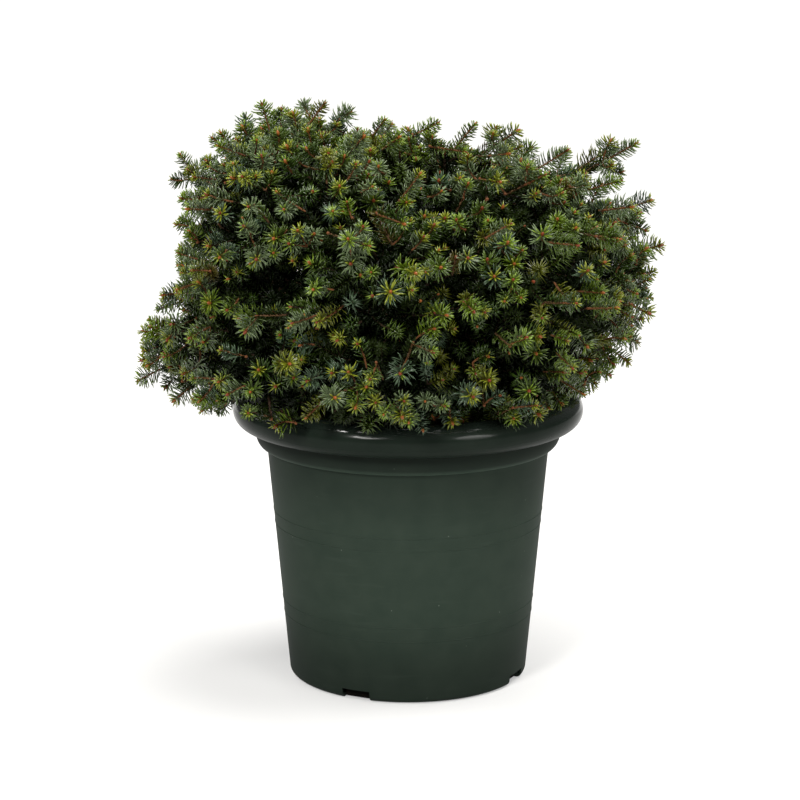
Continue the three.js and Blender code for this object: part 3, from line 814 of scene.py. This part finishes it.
starts, ends, parents = np.array(starts), np.array(ends), np.array(parents)
count = len(ends)
lengths = np.linalg.norm(ends - starts, axis=1)
ages = np.zeros(count, int)
for shoot in reversed(range(count)):
    if parents[shoot] >= 0:
        ages[parents[shoot]] = max(ages[parents[shoot]], ages[shoot] + 1)
is_tip = ages == 0
depths = outside_depth((starts + ends) / 2)
turn_out = np.where(is_tip & (depths < TURN_DEPTH), FACE_OUT, 0.0)
turn_out[straight] = 0
headings = unit(unit(ends - starts) + turn_out[:, None] * facing_out(ends))
bends = ends - headings * (0.5 * lengths)[:, None]
paths = np.stack([starts, bends, ends])
vigour = rng.uniform(*VIGOUR, count)


# Round things along the shoots: rings of corners joined into closed tubes
def tubes(places, tangents, radii, sides):
    """Closed tubes: places is (tubes, rings, 3) and radii (tubes, rings). The end rings are points."""
    number, rings = places.shape[:2]
    right, up = across(tangents)
    turns = 2 * math.pi * np.arange(sides) / sides
    circle = right[:, 1:-1, None] * np.cos(turns)[:, None] + up[:, 1:-1, None] * np.sin(turns)[:, None]
    walls = places[:, 1:-1, None] + circle * radii[:, 1:-1, None, None]
    corners = np.concatenate([places[:, :1], walls.reshape(number, -1, 3), places[:, -1:]], axis=1)
    last = 1 + (rings - 2) * sides
    faces = []
    for side in range(sides):
        after = (side + 1) % sides
        faces.append((0, 1 + after, 1 + side))
        for ring in range(rings - 3):
            low = 1 + ring * sides
            high = low + sides
            faces.append((low + side, low + after, high + after))
            faces.append((low + side, high + after, high + side))
        faces.append((last - sides + side, last - sides + after, last))
    faces = np.array(faces)[None] + (np.arange(number) * (last + 1))[:, None, None]
    return corners.reshape(-1, 3), faces.reshape(-1, 3)


def shoot_tubes(chosen, offsets, radii, sides):
    """Tubes along the headings of chosen shoots: offsets in mm from each shoot's end, and radii in mm."""
    places = ends[chosen][:, None] + headings[chosen][:, None] * np.asarray(offsets)[..., None]
    tangents = np.repeat(headings[chosen][:, None], places.shape[1], axis=1)
    return tubes(places, tangents, np.broadcast_to(radii, places.shape[:2]), sides)


thick_end = TWIG_RADIUS + TWIG_PER_YEAR * np.minimum(ages, TWIG_YEARS)
thick_start = thick_end + TWIG_TAPER


def twig_tubes(chosen, share, swelling, sides):
    """Tubes along whole shoots through these shares of their lengths, thicker where they swell."""
    number = len(chosen)
    places = np.stack([bezier(paths[:, chosen], np.full(number, t)) for t in share], axis=1)
    tangents = np.stack([bezier_tangent(paths[:, chosen], np.full(number, t)) for t in share], axis=1)
    places[:, 0] -= TWIG_LAP * tangents[:, 0]
    places[:, -1] += TWIG_LAP * tangents[:, -1]
    radii = thick_start[chosen][:, None] + (thick_end - thick_start)[chosen][:, None] * share
    return tubes(places, tangents, radii * swelling, sides)


def add_pieces(name, corners, faces, material, nodes, most=190000):
    """The arrays as one or more pieces, none with more triangles than most."""
    parts = max(1, math.ceil(len(faces) / most))
    per = math.ceil(len(faces) / parts)
    for i in range(parts):
        chosen = faces[i * per : (i + 1) * per]
        used, local = np.unique(chosen, return_inverse=True)
        piece = joined_mesh(f"{name}_{i + 1}", corners[used], local.reshape(-1, 3))
        finish_piece(piece, material, nodes)


def finish_piece(piece, material, nodes):
    if material is not None:
        piece.data.materials.append(material)
    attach(piece, "root")
    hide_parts(*nodes)


foliage_nodes = [f"foliage_{mass['name']}" for mass in masses]
bough_nodes = [f"bough_{mass['name']}" for mass in masses]
finish_piece(pot, None, ["pot"])
finish_piece(soil, None, ["soil"])
finish_piece(bark, None, ["stem", *bough_nodes])

# Twigs deep in the crown all take one dark colour: painted shade
shaded_deep_twigs = depths > DARK_TWIG_DEPTH
plain_share = np.array([0.0, 0.0, 0.5, 1.0, 1.0])
knob_share = np.concatenate([[0.0], np.linspace(0, 1, 2 * KNOBS + 1), [1.0]])
knob_swelling = np.concatenate([[1.0], np.where(np.arange(2 * KNOBS + 1) % 2, *KNOB_SWELLING), [1.0]])
for name, chosen, colour in (
    ("twigs_old", ages >= 2, (0.050, 0.027, 0.017)),
    ("twigs_young", ages == 1, (0.092, 0.047, 0.020)),
    ("twigs_tip", is_tip, (0.110, 0.041, 0.013)),
):
    material = plain_material(name, colour, roughness=0.75, specular=0.2)
    corners, faces = twig_tubes(np.flatnonzero(chosen & ~shaded_deep_twigs), knob_share, knob_swelling, 5)
    add_pieces(name, corners, faces, material, foliage_nodes)
    # painted shade for twigs deep in the crown
    material = plain_material(f"{name}_deep", (0.024, 0.014, 0.008), roughness=0.85, specular=0.1)
    corners, faces = twig_tubes(np.flatnonzero(chosen & shaded_deep_twigs), plain_share, 1.0, 4)
    add_pieces(f"{name}_deep", corners, faces, material, foliage_nodes)

scaly = np.flatnonzero((depths < SCALE_DEPTH) & ~is_tip)
corners, faces = shoot_tubes(scaly, SCALE_HEIGHTS, thick_end[scaly][:, None] + SCALE_RISE, 6)
material = plain_material("bud_scales", (0.105, 0.038, 0.013), roughness=0.7, specular=0.15)
add_pieces("bud_scales", corners, faces, material, foliage_nodes)

budded = (depths < BUD_DEPTH) & is_tip
ripe = rng.random(count) < RIPE_SHARE
for name, chosen, colour in (
    ("buds_orange", budded & ripe, (0.190, 0.057, 0.010)),
    ("buds_red", budded & ~ripe, (0.130, 0.027, 0.008)),
):
    chosen = np.flatnonzero(chosen)
    bud_size = vigour[chosen][:, None]
    corners, faces = shoot_tubes(chosen, BUD_HEIGHTS * bud_size, BUD_RADII * bud_size, 6)
    material = plain_material(name, colour, roughness=0.42, specular=0.22)
    add_pieces(name, corners, faces, material, foliage_nodes)

# Needles
cover = np.clip((COVER_FROM - depths) / COVER_FALL, COVER_LEAST, 1)
dense, sparse = depths < DENSE_DEPTH, depths >= SPARSE_DEPTH
per_length = np.where(dense, NEEDLES_PER_MM[0], np.where(sparse, NEEDLES_PER_MM[2], NEEDLES_PER_MM[1]))
tip_number = np.where(dense, *TIP_NEEDLES) + np.where(dense, *TIP_PER_MM) * lengths
numbers = np.round(np.where(is_tip, tip_number, per_length * lengths) * cover).astype(int)
which = np.repeat(np.arange(count), numbers)
rank = np.arange(len(which)) - np.repeat(np.cumsum(numbers) - numbers, numbers)
total = len(which)
tipped = is_tip[which]
place = (rank + rng.random(total)) / numbers[which]
place = np.where(tipped, TIP_START + NEEDLED * place**TIP_CROWDING, SHOOT_START + NEEDLED * place)
axis_point = bezier(paths[:, which], place)
tangent = bezier_tangent(paths[:, which], place)
right, up = across(tangent)
turn = rank * GOLDEN + rng.random(count)[which] * 2 * math.pi + rng.normal(0, TURN_SPREAD, total)
out = right * np.cos(turn)[:, None] + up * np.sin(turn)[:, None]
young = np.clip((place - YOUNG_FROM) / YOUNG_SHARE, 0, 1)
lean = np.where(tipped, TIP_LEAN - YOUNG_LEAN * young**2, SHOOT_LEAN - SHOOT_LEAN_FALL * place)
lean = np.radians(lean + rng.normal(0, LEAN_SPREAD, total))[:, None]
direction = unit(tangent * np.cos(lean) + out * np.sin(lean) + np.array([0, 0, LIFT]))
size = NEEDLE_LENGTH * vigour[which] * rng.uniform(*NEEDLE_LENGTHS, total)
size *= np.where(tipped, 1.0 - YOUNG_SHORTER * young, SHOOT_NEEDLE)
half = NEEDLE_HALF * rng.uniform(*NEEDLE_HALVES, total)
root = axis_point + out * (NEEDLE_ROOT * thick_end[which])[:, None]
shoulder = root + direction * (NEEDLE_SHOULDER * size)[:, None]
point = shoulder + unit(direction + POINT_BEND * tangent) * ((1 - NEEDLE_SHOULDER) * size)[:, None]
wide = unit(np.cross(direction, tangent))
deep = np.cross(direction, wide)
turns = math.pi / 2 + 2 * math.pi * np.arange(3) / 3
circle = wide[:, None] * np.cos(turns)[:, None] + deep[:, None] * np.sin(turns)[:, None]
low_ring = root[:, None] + circle * (NEEDLE_FOOT * half)[:, None, None]
high_ring = shoulder[:, None] + circle * half[:, None, None]
slim_half = np.where(depths[which] > BROAD_DEPTH, BROAD_FOOT, SLIM_FOOT) * half
slim_ring = root[:, None] + circle * slim_half[:, None, None]

# Outer needles have two rings and a point; those deep in the crown one ring and a point
FULL_FACES = np.array(
    [
        *((0, 2, 1), (0, 1, 4), (0, 4, 3), (1, 2, 5), (1, 5, 4)),
        *((2, 0, 3), (2, 3, 5), (3, 4, 6), (4, 5, 6), (5, 3, 6)),
    ]
)
SLIM_FACES = np.array([(0, 2, 1), (0, 1, 3), (1, 2, 3), (2, 0, 3)])
full_corners = np.concatenate([low_ring, high_ring, point[:, None]], axis=1)
slim_corners = np.concatenate([slim_ring, point[:, None]], axis=1)
deep_in = depths[which] > SLIM_DEPTH


def needle_arrays(chosen):
    """The corners and triangles of the chosen needles, the outer ones first."""
    full, slim = full_corners[chosen & ~deep_in], slim_corners[chosen & deep_in]
    full_corner_count = full.shape[0] * full.shape[1]
    full_faces = FULL_FACES + full.shape[1] * np.arange(len(full))[:, None, None]
    slim_faces = SLIM_FACES + slim.shape[1] * np.arange(len(slim))[:, None, None] + full_corner_count
    corners = np.vstack([full.reshape(-1, 3), slim.reshape(-1, 3)])
    return corners, np.vstack([full_faces.reshape(-1, 3), slim_faces.reshape(-1, 3)])


# Colours dealt out by spray: young needles at the tips are fresher, old ones darker, partly as painted shade
# in the gaps between tips, and recessed tips and needles deeper in the crown are painted dark as shade
TONES = {
    "fresh": (0.142, 0.166, 0.010),
    "spring": (0.104, 0.160, 0.012),
    "olive": (0.072, 0.083, 0.006),
    "lime": (0.070, 0.114, 0.006),
    "green": (0.046, 0.076, 0.009),
    "leaf": (0.023, 0.045, 0.005),
    "grey": (0.077, 0.109, 0.045),
    "blue": (0.040, 0.068, 0.034),
    "rust": (0.048, 0.041, 0.006),
    "dark": (0.011, 0.0185, 0.003),
    "shade": (0.0042, 0.0080, 0.0016),
}
SHADED = ("dark", "shade")
NEEDLE_ROUGHNESS, NEEDLE_SPECULAR, SHADED_SPECULAR = 0.21, 0.43, 0.1
names = list(TONES)


def deal(tones, odds):
    """One of these tones for each shoot."""
    return rng.choice([names.index(tone) for tone in tones], size=count, p=odds)


tip_tone = deal(("olive", "lime", "green", "leaf", "grey", "blue"), (0.08, 0.10, 0.26, 0.11, 0.34, 0.11))
# Recessed tips, and needles deeper in the crown, are dealt darker tones: painted shade
under_shade_tone = deal(("olive", "green", "leaf", "blue", "dark"), (0.09, 0.16, 0.30, 0.10, 0.35))
old_tone = deal(("rust", "olive", "green", "leaf", "blue", "dark"), (0.14, 0.12, 0.14, 0.20, 0.08, 0.32))
inner_shade_tone = deal(("leaf", "dark", "shade"), (0.10, 0.45, 0.45))
deep_shade_tone = deal(SHADED, (0.25, 0.75))
spray_tone = np.where(depths < OLD_DEPTH, old_tone, np.where(depths < INNER_DEPTH, inner_shade_tone, deep_shade_tone))
spray_tone = np.where(is_tip & (depths < INNER_DEPTH), under_shade_tone, spray_tone)
spray_tone = np.where(is_tip & (depths < TIP_DEPTH), tip_tone, spray_tone)
fresh_tone = deal(("fresh", "spring"), (0.5, 0.5))
fresh_from = rng.uniform(*FRESH_FROM, count)
is_fresh = tipped & (depths[which] < FRESH_DEPTH) & (place > fresh_from[which])
tone = np.where(is_fresh, fresh_tone[which], spray_tone[which])
for i, name in enumerate(names):
    corners, faces = needle_arrays(tone == i)
    specular = SHADED_SPECULAR if name in SHADED else NEEDLE_SPECULAR
    material = plain_material(f"needles_{name}", TONES[name], NEEDLE_ROUGHNESS, specular)
    add_pieces(f"needles_{name}", corners, faces, material, foliage_nodes)

# Floor, light and camera, in metres
WARM = (1.0, 0.985, 0.95)
FLOOR_SIZE, FLOOR_DROP, FLOOR_GREY, FLOOR_GLOW = 600, 0.0003, 0.42, 0.34
WORLD_LIGHT = 0.12
KEY_TILT, KEY_TURN, KEY_POWER, KEY_SPREAD = 18, 108, 5.2, 50
CAMERA_PLACE, CAMERA_TILT = (-0.00595, -1.7465, 0.5702), 78.23

start_piece()
bpy.ops.mesh.primitive_plane_add(size=FLOOR_SIZE, location=(0, 0, -FLOOR_DROP))
floor = bpy.context.object
floor.name = "floor"
floor_pale = plain_material("floor", (FLOOR_GREY,) * 3, roughness=0.9, specular=0.0)
floor_shader = floor_pale.node_tree.nodes["Principled BSDF"]
floor_shader.inputs["Emission Color"].default_value = (1, 1, 1, 1)
floor_shader.inputs["Emission Strength"].default_value = FLOOR_GLOW
floor.data.materials.append(floor_pale)

world = bpy.data.worlds.new("studio")
bpy.context.scene.world = world
world.use_nodes = True
world.node_tree.nodes["Background"].inputs["Color"].default_value = (1, 1, 1, 1)
world.node_tree.nodes["Background"].inputs["Strength"].default_value = WORLD_LIGHT


def add_light(name, location, target, size, power):
    start_piece()
    bpy.ops.object.light_add(type="AREA", location=location)
    light = bpy.context.object
    light.name = name
    light.data.shape = "DISK"
    light.data.size = size
    light.data.energy = power
    light.data.color = WARM
    away = np.array(location) - np.array(target)
    light.rotation_euler = (math.acos(away[2] / np.linalg.norm(away)), 0, math.atan2(away[0], -away[1]))


start_piece()
bpy.ops.object.light_add(type="SUN", rotation=(math.radians(KEY_TILT), 0, math.radians(KEY_TURN)))
key = bpy.context.object
key.name = "key"
key.data.energy = KEY_POWER
key.data.color = WARM
key.data.angle = math.radians(KEY_SPREAD)
add_light("left_top", (-0.85, -0.45, 2.0), target=(0, 0, 0.3), size=0.6, power=27)
add_light("front", (-1.0, -1.9, 1.55), target=(0, 0, 0.22), size=0.7, power=51)
add_light("fill", (1.5, -1.6, 1.0), target=(0, 0, 0.25), size=1.0, power=23)

bpy.ops.object.camera_add(location=CAMERA_PLACE, rotation=(math.radians(CAMERA_TILT), 0, 0))
camera = bpy.context.object
camera.data.sensor_width = 36
camera.data.lens = 108
bpy.context.scene.camera = camera
bpy.context.scene.view_settings.view_transform = "Standard"
